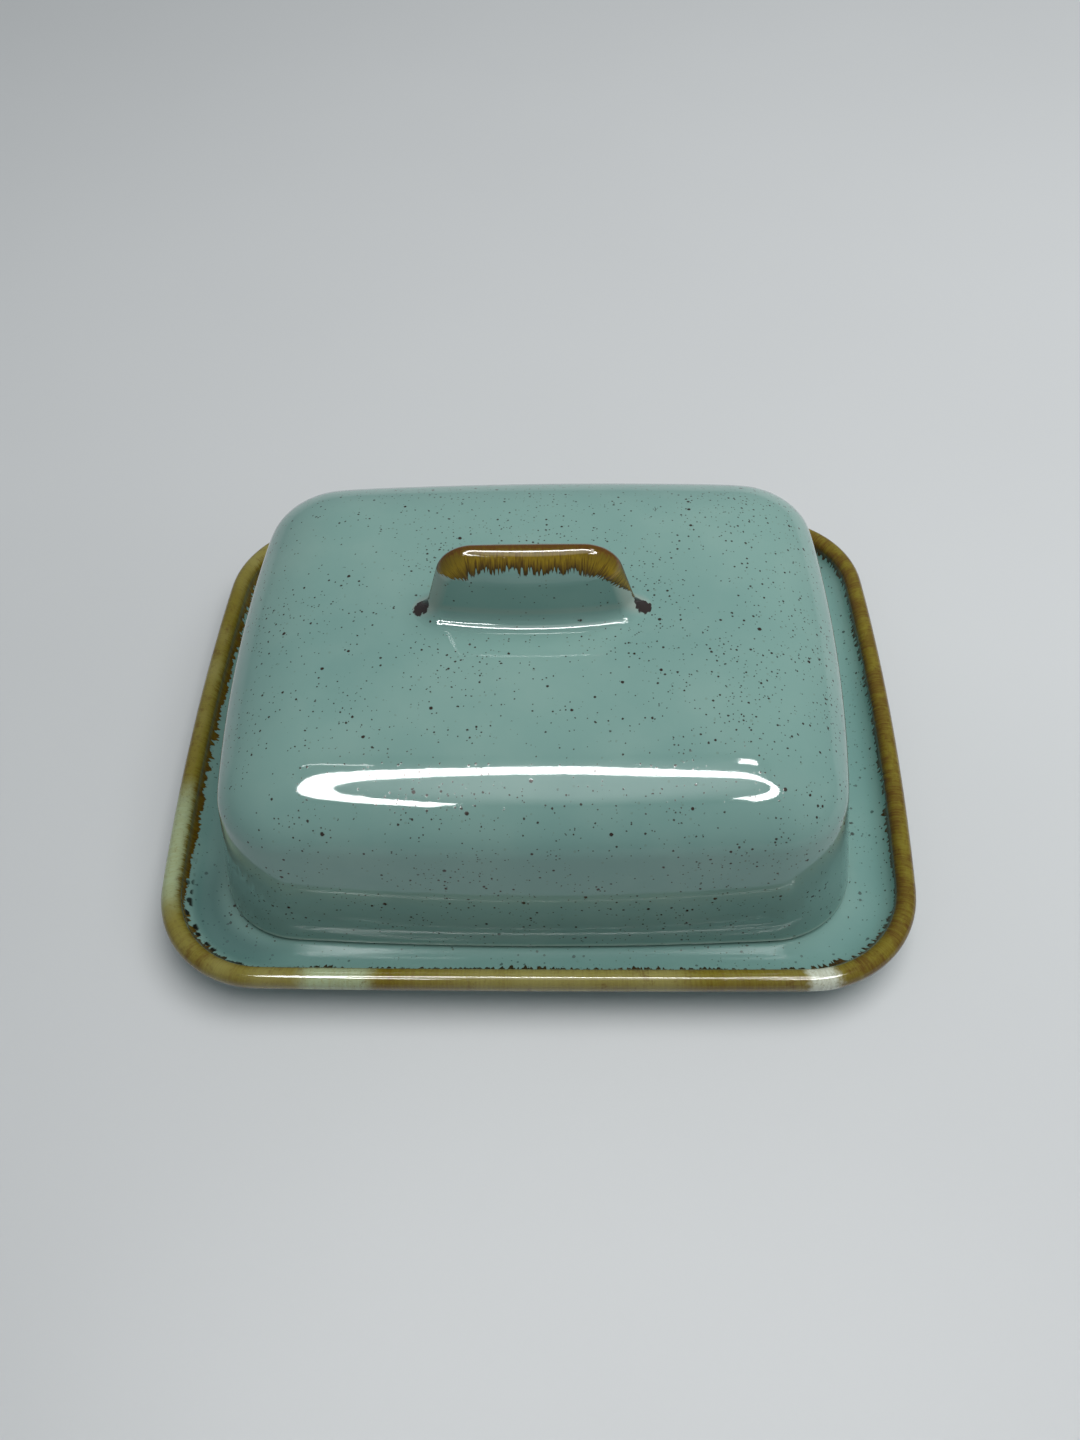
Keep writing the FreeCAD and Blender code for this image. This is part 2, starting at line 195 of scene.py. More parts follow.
def dish_section():
    """(inset from the rim's outside, height) from under the middle round to the floor."""
    bead_low = DISH_TOP - BEAD
    inner_foot = FOOT_INSET + FOOT_WIDTH
    foot_turn = turn(0, 90, 7)
    parts = [
        [(inset, FOOT_HEIGHT) for inset in (DISH_Y - 6, inner_foot + 12, inner_foot + 1)],
        # down round the foot ring and up again
        level_first(inner_foot, FOOT_HEIGHT, FOOT_FILLET, -FOOT_FILLET, foot_turn),
        upright_first(inner_foot, FOOT_ROUND, -FOOT_ROUND, -FOOT_ROUND, foot_turn),
        level_first(FOOT_INSET, 0, FOOT_ROUND, FOOT_ROUND, foot_turn),
        upright_first(FOOT_INSET, FOOT_HEIGHT - FOOT_FILLET, -FOOT_FILLET, FOOT_FILLET, foot_turn),
        # the underside flares out to the bead, goes over it and falls into the well
        level_first(0, FOOT_HEIGHT, FOOT_INSET - 1, bead_low - FOOT_HEIGHT, turn(4, 90, 26)),
        upright_first(0, bead_low, BEAD, BEAD, turn(8, 176, 22)),
        level_first(2 * BEAD, FLOOR, WELL_RUN, bead_low - FLOOR, turn(90, 0, 26)),
        [(2 * BEAD + WELL_RUN + 2 * k, FLOOR) for k in range(1, 8)],
        [(DISH_Y * share, FLOOR) for share in (0.5, 0.7, 0.9)],
    ]
    return np.array([point for part in parts for point in part])


print("points down the dish's section", len(dish_section()))

# %% Sweep the dish
def run_along(section, start):
    """How far along the section each of its points is from the one numbered start:
    negative before it and positive after it."""
    steps = np.linalg.norm(np.diff(section, axis=0), axis=1)
    length = np.concatenate([[0], np.cumsum(steps)])
    return length - length[start]


def make_dish():
    """The dish: its section swept round its outline, one ring for each point."""
    section = dish_section()
    run = run_along(section, int(section[:, 1].argmax()))
    edge = bowed_rectangle(DISH_X, DISH_Y, DISH_CORNER, DISH_LONG_BOW, DISH_SHORT_BOW)
    rings, runs = [], []
    for (inset, height), far in zip(section, run):
        corner = max(DISH_CORNER - SHARPER * inset, 4)
        half_x, half_y = DISH_X - inset, DISH_Y - inset
        ring = bowed_rectangle(half_x, half_y, corner, DISH_LONG_BOW, DISH_SHORT_BOW)
        rings.append(np.column_stack([ring, np.full(len(ring), height)]))
        runs.append(np.column_stack([edge, np.full(len(ring), far)]))
    return skin("glazed_dish", rings, runs)


dish = make_dish()

# %% [markdown]
# ## The cover
#
# The cover is a hollow dome. Its walls lean in so that it leaves the mould, its
# shoulder is a wide soft quarter ellipse, and its top is crowned so that it doesn't
# sag in the kiln. One function gives the rings of the outside and, with the wall's
# thickness taken off, those of the hollow. The two are joined round the lip.

# %% The cover's rings
COVER_WALL, COVER_CORNER = 4.2, 20.0
CORNER_LOSS = 0.5  # a corner's radius shrinks by this much for each mm of inset
LIP = 1.3  # radius of both edges of the lip
COVER_LONG_BOW, COVER_SHORT_BOW = 980.0, 386.0
WALL_LEAN = math.radians(8.4)
SHOULDER_REACH, SHOULDER_DROP, CROWN_RISE = 24.0, 13.4, 4.4
HANDLE_X, HANDLE_Y, HANDLE_LOW, HANDLE_TOP = node_box("handle")
SEAT_CORNER = 6.5  # corner of the flat that the handle stands on
RUBBED_FROM, RUBBED_OVER, RUBBED_BY = 24.0, 16.0, 2.5  # where the shoulder was rubbed


def dome_rings(thick):
    """Rings (half length, half width, corner, height) from the wall's foot to the flat
    that the handle stands on, for the outside or, thick mm further in, the hollow."""
    reach, drop = SHOULDER_REACH - thick, SHOULDER_DROP - thick
    top = COVER_TOP - COVER_LOW - thick
    first = math.atan(drop / reach * math.tan(WALL_LEAN))
    wall_top = top - CROWN_RISE - drop * (1 - math.sin(first))
    wall_inset = wall_top * math.tan(WALL_LEAN)
    lip_x, lip_y = COVER_X - thick, COVER_Y - thick
    way_in = lip_y - wall_inset - HANDLE_Y

    def crown(gone):
        return CROWN_RISE * (1 - (1 - gone / way_in) ** 2)

    rings = []
    for height in np.linspace(0, wall_top, 14, endpoint=False):
        inset = height * math.tan(WALL_LEAN)
        corner = COVER_CORNER - CORNER_LOSS * (thick + inset)
        rings.append((lip_x - inset, lip_y - inset, corner, height))
    for angle in np.linspace(first, math.pi / 2, 40):
        gone = reach * (math.cos(first) - math.cos(angle))
        inset = wall_inset + gone
        height = wall_top + drop * (math.sin(angle) - math.sin(first)) + crown(gone)
        corner = COVER_CORNER - CORNER_LOSS * (thick + inset)
        rings.append((lip_x - inset, lip_y - inset, corner, height))
    start_x, start_y, start_corner, _ = rings[-1]
    shoulder = reach * math.cos(first)
    for share in np.linspace(0, 1, 25)[1:]:
        half_x = start_x + (HANDLE_X - start_x) * share
        half_y = start_y + (HANDLE_Y - start_y) * share
        corner = start_corner + (SEAT_CORNER - start_corner) * share
        height = top - CROWN_RISE + crown(shoulder + (way_in - shoulder) * share)
        rings.append((half_x, half_y, corner, height))
    return rings


print("rings up the cover's outside", len(dome_rings(0)))

# %% Join the hollow, the lip and the outside
def make_cover():
    """The cover: the hollow's rings from the top down, the lip, the outside's rings."""
    inside, outside = dome_rings(COVER_WALL), dome_rings(0)
    turned = []
    for a in turn(90, 0, 9):
        thick = COVER_WALL - LIP * (1 - math.sin(a))
        corner = COVER_CORNER - CORNER_LOSS * thick
        turned.append((COVER_X - thick, COVER_Y - thick, corner, LIP * (1 - math.cos(a))))
    for a in turn(0, 90, 9):
        inset = LIP * (1 - math.sin(a)) + LIP * (1 - math.cos(a)) * math.tan(WALL_LEAN)
        corner = COVER_CORNER - CORNER_LOSS * inset
        turned.append((COVER_X - inset, COVER_Y - inset, corner, LIP * (1 - math.cos(a))))
    # the walls' rings start where the rounded lip is well behind
    inside, outside = ([r for r in side if r[3] > LIP * 1.2] for side in (inside, outside))
    rings, runs = [], []
    lip = bowed_rectangle(COVER_X, COVER_Y, COVER_CORNER, COVER_LONG_BOW, COVER_SHORT_BOW)
    for place, (half_x, half_y, corner, height) in enumerate(inside[::-1] + turned + outside):
        # the shoulder's corners were rubbed rounder than the walls'
        rubbed = min(1, max(0, (height - RUBBED_FROM) / RUBBED_OVER))
        reach = min(SOFTENED + RUBBED_BY * rubbed, half_y / 6)
        ring = bowed_rectangle(half_x, half_y, corner, COVER_LONG_BOW, COVER_SHORT_BOW, reach)
        level = np.full(len(ring), height + COVER_LOW)
        rings.append(np.column_stack([ring, level]))
        outward = 1 if place >= len(inside) + 9 else -1
        runs.append(np.column_stack([lip, np.full(len(ring), height * outward)]))
    return skin("glazed_cover", rings, runs)


cover = make_cover()

# %% [markdown]
# ## The handle
#
# The handle is a slab that was pinched while the clay was soft: its top edge is drawn
# up to a narrow ridge, its faces are a little full in the middle, and slip is worked
# into the joint so that it flares out on to the crown. A box with a bevel would have
# flat faces, hard ends and no flare. Instead the slab's outline, seen from the front,
# is taken in row by row, down to the front face and down to the back face. Upright
# strips close the faces, and the ring that is left at the bottom is swept out along a
# curve that starts down the slab and ends level on the crown.

# %% The handle's outline
HANDLE_CORNER, HANDLE_FLARE, HANDLE_HALF_THICK = 9.0, 3.9, 4.2
HANDLE_LEAN = math.radians(16)
SEAT = COVER_TOP  # the level that the flare ends on
HANDLE_FOOT = HANDLE_X - HANDLE_FLARE  # half length at the seat, before the flare
ON_END, ON_CORNER, ON_TOP = 18, 28, 26  # points up an end, round a corner, over half the top
RIDGE = 0.9  # the ridge stands this far behind the middle
FRONT_BOW, BACK_BOW = 126.0, 300.0  # radii of the full faces, seen from above
PINCH = 1.65  # the edge's section is a superellipse: 2 would be round, 1 a sharp bevel
# how deep the rounding goes: at the ends, and how much deeper on top
FRONT_DEPTH, BACK_DEPTH = (2.6, 5.4), (2.3, 2.2)
ROWS = 18  # rows from the ridge to a face
FLARE_ROWS = 14
FLARE_RUN = 1.3  # how much longer the glaze's way is down the flare than its width
SINK = 0.08  # how deep the flare ends in the crown
FOOT_SHORT = 0.2  # how far the foot stays above the bottom of its seat


def handle_outline():
    """Points from the left foot over the top to the right foot, their outward normals,
    and how far each is towards the foot of its end."""
    lean, corner = HANDLE_LEAN, HANDLE_CORNER
    top = HANDLE_TOP - SEAT
    arc_z = top - corner
    arc_x = HANDLE_FOOT - arc_z * math.tan(lean) - corner / math.cos(lean)
    end_x, end_z = arc_x + corner * math.cos(lean), arc_z + corner * math.sin(lean)
    foot_x = end_x + (end_z - HANDLE_FLARE) * math.tan(lean)
    half = [(arc_x * share, top, 0, 1, 0) for share in np.linspace(0, 1, ON_TOP + 1)]
    for a in np.linspace(math.pi / 2, lean, ON_CORNER + 1)[1:]:
        out = (math.cos(a), math.sin(a))
        half.append((arc_x + corner * out[0], arc_z + corner * out[1], *out, 0))
    out = (math.cos(lean), math.sin(lean))
    for share in np.linspace(0, 1, ON_END + 1)[1:]:
        x = end_x + (foot_x - end_x) * share
        half.append((x, end_z + (HANDLE_FLARE - end_z) * share, *out, share))
    half = np.array(half)
    whole = np.concatenate([half[:0:-1] * [-1, 1, -1, 1, 1], half])
    return whole[:, :2], whole[:, 2:4], whole[:, 4]


print("points over the handle's outline", len(handle_outline()[0]))

# %% The handle's rows
def handle_rows(edge, out, foot):
    """Rows of points from the front face over the ridge to the back face, each the
    outline taken in by more or less, and how the glaze ran to them."""
    # the rounding is deep along the top and shallow down the ends
    upright = np.clip(out[:, 1], 0, 1) ** 2
    along = np.column_stack([-out[:, 1] * np.sign(edge[:, 0]), np.abs(out[:, 0])])
    shares = np.sin(turn(0, 90, ROWS + 1))
    points, runs = [], []
    for side, share in [(-1, s) for s in shares[:0:-1]] + [(1, s) for s in shares]:
        least, more = FRONT_DEPTH if side < 0 else BACK_DEPTH
        bow = FRONT_BOW if side < 0 else BACK_BOW
        over = 1 - (1 - share**PINCH) ** (1 / PINCH)
        inset = (least + more * upright) * over
        slide = inset * math.tan(HANDLE_LEAN) * foot
        flat = edge - out * inset[:, None] + along * slide[:, None]
        wide = HANDLE_HALF_THICK - side * RIDGE - flat[:, 0] ** 2 / (2 * bow)
        points.append(np.column_stack([flat[:, 0], RIDGE + side * wide * share, flat[:, 1]]))
        runs.append(np.column_stack([edge, np.hypot(wide * share, inset)]))
    return points, runs


print("rows over the handle", 2 * ROWS + 1)

# %% The handle's flare
def unit(vectors):
    """The same directions, each of length 1."""
    return vectors / np.linalg.norm(vectors, axis=1)[:, None]


def outward_of(ring):
    """The softened direction that points level out of a ring, at each of its points."""
    ahead = np.roll(ring[:, :2], -1, 0) - np.roll(ring[:, :2], 1, 0)
    outward = unit(np.column_stack([ahead[:, 1], -ahead[:, 0]]))
    for _ in range(3):
        outward = (np.roll(outward, 1, 0) + outward * 2 + np.roll(outward, -1, 0)) / 4
    return unit(outward)


def flare_rings(ring):
    """Rings below a ring, down the slab's side and out on to the crown along a cubic
    curve, with how much further the glaze ran to each. The last one closes the foot."""
    outward = outward_of(ring)
    lean = math.tan(HANDLE_LEAN) * np.abs(outward[:, :1])
    for t in np.linspace(0, 1, FLARE_ROWS + 1)[1:]:
        early, late = 3 * (1 - t) ** 2 * t, 3 * (1 - t) * t**2
        away = (early * 0.6 * lean + late * (0.4 + lean) + t**3 * (1 + lean)) * HANDLE_FLARE
        drop = HANDLE_FLARE * ((1 - t) ** 3 + early * 0.4) - SINK * t**3
        flat = ring[:, :2] + outward * away
        level = np.column_stack([flat, np.full(len(flat), drop)])
        yield level, HANDLE_FLARE * FLARE_RUN * t
    # a shallow foot is let into the crown
    yield level - [0, 0, SEAT - HANDLE_LOW - FOOT_SHORT], HANDLE_FLARE * FLARE_RUN


def make_handle():
    """The handle: its rows, upright strips that close both faces, and the flare."""
    edge, out, foot = handle_outline()
    points, runs = handle_rows(edge, out, foot)
    count, rows = len(edge), len(points)
    faces = []
    for row in range(rows - 1):
        low = row * count
        for i in range(count - 1):
            faces.append((low + i, low + i + 1, low + count + i + 1, low + count + i))
    grid, run = np.concatenate(points), np.concatenate(runs)
    # the strips hang from each face's innermost row
    feet_of = {}
    for row in (0, rows - 1):
        low = row * count
        middle = np.arange(low + 1, low + count - 1)
        feet = [low, *range(len(grid), len(grid) + len(middle)), low + count - 1]
        hung = grid[middle].copy()
        hung[:, 2] = HANDLE_FLARE
        drop = grid[middle][:, 2] - HANDLE_FLARE
        run = np.vstack([run, run[middle] + np.outer(drop, [0, 0, 1])])
        grid = np.vstack([grid, hung])
        for i in range(count - 1):
            strip = list(dict.fromkeys([low + i, feet[i], feet[i + 1], low + i + 1]))
            faces.append(tuple(strip if row == 0 else strip[::-1]))
        feet_of[row] = feet
    # the ring at the foot of the slab, anticlockwise from the front's left corner
    right_end = [row * count + count - 1 for row in range(1, rows)]
    left_end = [row * count for row in range(rows - 2, 0, -1)]
    base = list(dict.fromkeys(feet_of[0] + right_end + feet_of[rows - 1][-2::-1] + left_end))
    above, base_run = base, run[base]
    for level, further in flare_rings(grid[base]):
        below = list(range(len(grid), len(grid) + len(base)))
        grid = np.vstack([grid, level])
        run = np.vstack([run, base_run + [0, 0, further]])
        for i, j in zip(range(len(base)), [*range(1, len(base)), 0]):
            faces.append((above[i], below[i], below[j], above[j]))
        above = below
    faces.append(tuple(above[::-1]))
    grid[:, 2] += SEAT
    return make_mesh("glazed_handle", grid, faces, run)


handle = make_handle()

# %% [markdown]
# ## Which piece moves with what
#
# The cover and its handle lift off together, and the dish stays. Each new piece
# stands for the design's solid of the same name, which is hidden.

# %% Ride on the bodies
for piece, node, body, slot in (
    (dish, "dish", "dish", "turquoise_glaze"),
    (cover, "cover", "cover", "turquoise_glaze"),
    (handle, "handle", "cover", "handle_glaze"),
):
    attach(piece, body)
    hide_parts(node)

# %% [markdown]
# ## A small language for glazes
#
# A glaze recipe is a sum: so much of this where that is thick. Blender writes such
# sums as nodes, which are slow to read. Here a socket is wrapped so that Python's
# signs add the nodes, and a recipe reads as the formula that it is.

# %% Wrap sockets
class Wire:
    """A number, colour or vector on its way through a glaze's nodes."""

    def __init__(self, glaze, socket):
        self.glaze, self.socket = glaze, socket

    def _sum(self, operation, *values):
        places = dict(enumerate(values))
        return self.glaze.node("ShaderNodeMath", {"operation": operation}, places)

    def __add__(self, other):
        return self._sum("ADD", self, other)

    def __radd__(self, other):
        return self._sum("ADD", other, self)

    def __sub__(self, other):
        return self._sum("SUBTRACT", self, other)

    def __rsub__(self, other):
        return self._sum("SUBTRACT", other, self)

    def __mul__(self, other):
        return self._sum("MULTIPLY", self, other)

    def __rmul__(self, other):
        return self._sum("MULTIPLY", other, self)

    def __truediv__(self, other):
        return self._sum("DIVIDE", self, other)

    def __rtruediv__(self, other):
        return self._sum("DIVIDE", other, self)

    def __lt__(self, other):
        return self._sum("LESS_THAN", self, other)

    def __gt__(self, other):
        return self._sum("GREATER_THAN", self, other)

    def most(self, other):
        return self._sum("MAXIMUM", self, other)

    def least(self, other):
        return self._sum("MINIMUM", self, other)


print("signs that add nodes: + - * / < >")

# %% A recipe and its nodes
class Glaze:
    """A material and the nodes that are its recipe."""

    def __init__(self, name):
        self.material = bpy.data.materials.new(name)
        self.material.use_nodes = True
        self.tree = self.material.node_tree
        self.tree.nodes.clear()

    def node(self, kind, settings=None, sockets=None, out=0):
        """A node of that type. Its settings are set first, then its sockets."""
        made = self.tree.nodes.new(kind)
        for name, value in (settings or {}).items():
            if name == "stops":
                for number, (place, colour) in enumerate(value):
                    stops = made.color_ramp.elements
                    stop = stops[number] if number < 2 else stops.new(place)
                    stop.position, stop.color = place, colour
            else:
                setattr(made, name, value)
        for name, value in (sockets or {}).items():
            if isinstance(value, Wire):
                self.tree.links.new(value.socket, made.inputs[name])
            else:
                made.inputs[name].default_value = value
        return Wire(self, made.outputs[out]) if made.outputs else None

    def place(self):
        """Where a point is on the object, in mm."""
        where = self.node("ShaderNodeTexCoord", out="Object")
        return self.scaled(where, 1 / MM)

    def scaled(self, vector, amount):
        """A vector times one number."""
        settings = {"operation": "SCALE"}
        return self.node("ShaderNodeVectorMath", settings, {0: vector, "Scale": amount})

    def moved(self, vector, by):
        """A vector plus another."""
        return self.node("ShaderNodeVectorMath", {"operation": "ADD"}, {0: vector, 1: by})

    def stretched(self, vector, by):
        """A vector with each of its numbers times its own number."""
        return self.node("ShaderNodeVectorMath", {"operation": "MULTIPLY"}, {0: vector, 1: by})

    def noise(self, vector, grain, detail=2.0, rough=0.5, out="Fac"):
        """Cloudy noise with lumps about grain mm across."""
        sockets = {"Vector": vector, "Scale": 1 / grain, "Detail": detail, "Roughness": rough}
        return self.node("ShaderNodeTexNoise", None, sockets, out)

    def step(self, value, low, high):
        """0 below low and 1 above high, with a soft way between."""
        settings = {"interpolation_type": "SMOOTHSTEP"}
        sockets = {"Value": value, "From Min": low, "From Max": high}
        return self.node("ShaderNodeMapRange", settings, sockets)

    def mix(self, amount, first, second):
        """first where amount is 0 and second where it is 1, as colours."""
        settings = {"data_type": "RGBA"}
        inputs = {0: amount, 6: first, 7: second}
        return self.node("ShaderNodeMix", settings, inputs, out=2)


print("a recipe has", [name for name in vars(Glaze) if name[0] != "_"])

# %% Colours
def colour(red, green, blue):
    """A colour seen on a screen, from 0 to 255, as the light that it stands for."""
    parts = [value / 255 for value in (red, green, blue)]
    return tuple(p / 12.92 if p < 0.04 else ((p + 0.055) / 1.055) ** 2.4 for p in parts) + (1,)


print("half grey on a screen is", round(colour(128, 128, 128)[0], 3), "of the light")

# %% [markdown]
# ## The turquoise glass
#
# The turquoise glass is nearly even. It is a little greyer where it lies thin and a
# little deeper where it pooled. The specks are grains of iron that melted out: most
# are pinpricks, a few are blots, and they crowd together in drifts. Noise alone can't
# make separate dots of a chosen size, so each layer of specks is a Voronoi pattern.
# The surface cuts through its cells, and a cell shows a speck when it holds a grain
# and the surface happens to cut that grain, just as in real clay.

# %% Specks
# spacing of the cells, smallest and largest speck, share of cells that hold one, shift
SPECKS = {
    "fine": (1.0, 0.24, 0.5, 0.46, 3.0),
    "middling": (1.5, 0.45, 0.75, 0.28, 17.0),
    "blots": (2.8, 0.7, 1.15, 0.16, 41.0),
    "faint": (1.5, 0.3, 0.75, 0.3, 59.0),
}


def part_of(glaze, vector, axis):
    """One of a vector's three numbers."""
    return glaze.node("ShaderNodeSeparateXYZ", None, {"Vector": vector}, out="XYZ".index(axis))


def specks(glaze, place, spacing, small, large, share, shift):
    """Dots between small and large mm across. share of the cells hold one."""
    # ragged edges: the place is shaken a little before the cells are laid out
    wander = glaze.noise(place, 0.4, 2.0, 0.6, out="Color")
    place = glaze.moved(place, glaze.scaled(wander, 0.32))
    place = glaze.moved(place, (shift, shift * 0.7, shift * 0.3))
    settings = {"feature": "F1", "distance": "EUCLIDEAN"}
    sockets = {"Vector": place, "Scale": 1 / spacing, "Randomness": 1.0}
    near = glaze.node("ShaderNodeTexVoronoi", settings, sockets, out="Distance") * spacing
    luck = glaze.node("ShaderNodeTexVoronoi", settings, sockets, out="Color")
    luck = glaze.node("ShaderNodeSeparateColor", None, {"Color": luck}, out=0)
    chosen = luck < share
    size = (small + (large - small) * luck / share) * 0.5
    return chosen * (1 - glaze.step(near, size * 0.7, size * 1.05))


print("specks in mm", {name: layer[1:3] for name, layer in SPECKS.items()})

# %% The turquoise glass
TURQUOISE = colour(124, 159, 151)
TURQUOISE_DEEP = colour(102, 142, 137)
TURQUOISE_THIN = colour(160, 184, 174)
IRON = colour(48, 38, 32)
IRON_FAINT = colour(92, 100, 80)
CLAY = colour(206, 190, 164)
GLOSS, BARE, RUSTY = 0.05, 0.65, 0.1  # roughness of glass, and what clay and iron add
WAVES, WAVE_HEIGHT = 0.35, 0.00006  # strength of the glass's ripple, and its height in metres
GLASS_IOR = 1.5
print("turquoise as light", np.round(TURQUOISE[:3], 3))


def turquoise(glaze, crowd=1.0):
    """The colour of the turquoise glass with its specks, and where the specks are.
    crowd is how thickly they lie."""
    place = glaze.place()
    cloud = glaze.noise(place, 45.0, 2.0)
    milk = glaze.noise(glaze.moved(place, (91, 17, 5)), 16.0, 3.0, 0.5)
    ground = glaze.mix(glaze.step(cloud, 0.3, 0.7) * 0.4, TURQUOISE, TURQUOISE_DEEP)
    ground = glaze.mix(glaze.step(milk, 0.4, 0.8) * 0.15, ground, TURQUOISE_THIN)
    drift = glaze.noise(glaze.moved(place, (13, 71, 29)), 15.0, 3.0, 0.6)
    back_right = glaze.step(part_of(glaze, place, "X") + part_of(glaze, place, "Y"), -60.0, 90.0)
    drift = (0.45 + glaze.step(drift + back_right * 0.08, 0.42, 0.68) * 1.3) * crowd
    fine, middling, blots, faint = (
        specks(glaze, place, spacing, small, large, share * drift, shift)
        for spacing, small, large, share, shift in SPECKS.values()
    )
    dark = (fine * 0.88).most(middling * 0.95).most(blots)
    ground = glaze.mix(faint * 0.25, ground, IRON_FAINT)
    return glaze.mix(dark, ground, IRON), dark


def fire(glaze, base, rough, height):
    """The last step of a recipe: the surface that the kiln leaves."""
    sockets = {"Strength": WAVES, "Distance": WAVE_HEIGHT, "Height": height}
    bump = glaze.node("ShaderNodeBump", None, sockets)
    sockets = {"Base Color": base, "Roughness": rough, "Normal": bump, "IOR": GLASS_IOR}
    surface = glaze.node("ShaderNodeBsdfPrincipled", None, sockets)
    glaze.node("ShaderNodeOutputMaterial", None, {"Surface": surface})
    print("glaze", glaze.material.name, "of", len(glaze.tree.nodes), "nodes")
    return glaze.material


# %% [markdown]
# ## The brown edge
#
# An iron wash was brushed on the rim and on the top of the handle before firing. In
# the kiln it ran: olive and thin on the crest where it drained away, golden brown
# below, and almost black where it stopped in a row of small teeth. The distance that
# each point keeps from its edge is compared with a ragged limit, and the colours
# follow from how near the limit a point is.

# %% A running brown glaze
OLIVE = colour(123, 112, 34)
STRAW = colour(112, 94, 16)
GOLD = colour(94, 70, 4)
UMBER = colour(56, 42, 6)
TAR = colour(24, 20, 12)


def run_of(glaze):
    """The point of the edge that a point belongs to, and its distance run from there."""
    run = glaze.node("ShaderNodeAttribute", {"attribute_name": "run"}, out="Vector")
    return run, part_of(glaze, run, "Z")


def teeth_of(glaze, run, width, length):
    """How much further than the others each tooth of the running glaze reaches, in mm."""
    along = glaze.stretched(run, (1, 1, 0))
    comb = glaze.noise(along, width, 1.0, 0.5)
    fine = glaze.noise(glaze.moved(along, (70, 20, 0)), width * 0.4, 1.0, 0.5)
    wander = glaze.noise(glaze.moved(along, (50, 50, 0)), width * 12, 2.0)
    comb = glaze.step(comb, 0.34, 0.66) - 0.5
    return comb * length + (fine - 0.5) * length * 0.8 + (wander - 0.5) * length * 2.2


def brown(glaze, far, reach, streak, stops, late=0.0):
    """The running glaze's colour, and how much of it there is, where it has run far mm
    and stops at reach. It darkens late where less of it ran down."""
    depth = far / reach + (streak - 0.5) * 0.32 - late
    shade = glaze.node("ShaderNodeValToRGB", {"stops": stops}, {"Fac": depth})
    return shade, 1 - glaze.step(far, reach - 0.15, reach + 0.15)


def spot(glaze, run, centre, half, soft, axis):
    """1 within half mm of centre along one axis, fading over soft mm."""
    offset = {0: part_of(glaze, run, axis) - centre}
    away = glaze.node("ShaderNodeMath", {"operation": "ABSOLUTE"}, offset)
    return 1 - glaze.step(away, half - soft / 2, half + soft / 2)


print("the brown runs from", np.round(OLIVE[:3], 3), "to", np.round(TAR[:3], 3))

# %% [markdown]
# ## Glazing the dish
#
# On the real dish no two lengths of the rim are alike. The wash drained pale in
# places, lies rusty where it was thick, and was rubbed off in three spots while it was
# wet. Painting a picture on the rim would fix all that, but it would need a map of the
# surface. Each event is a mask instead, placed along the edge and frayed with noise.

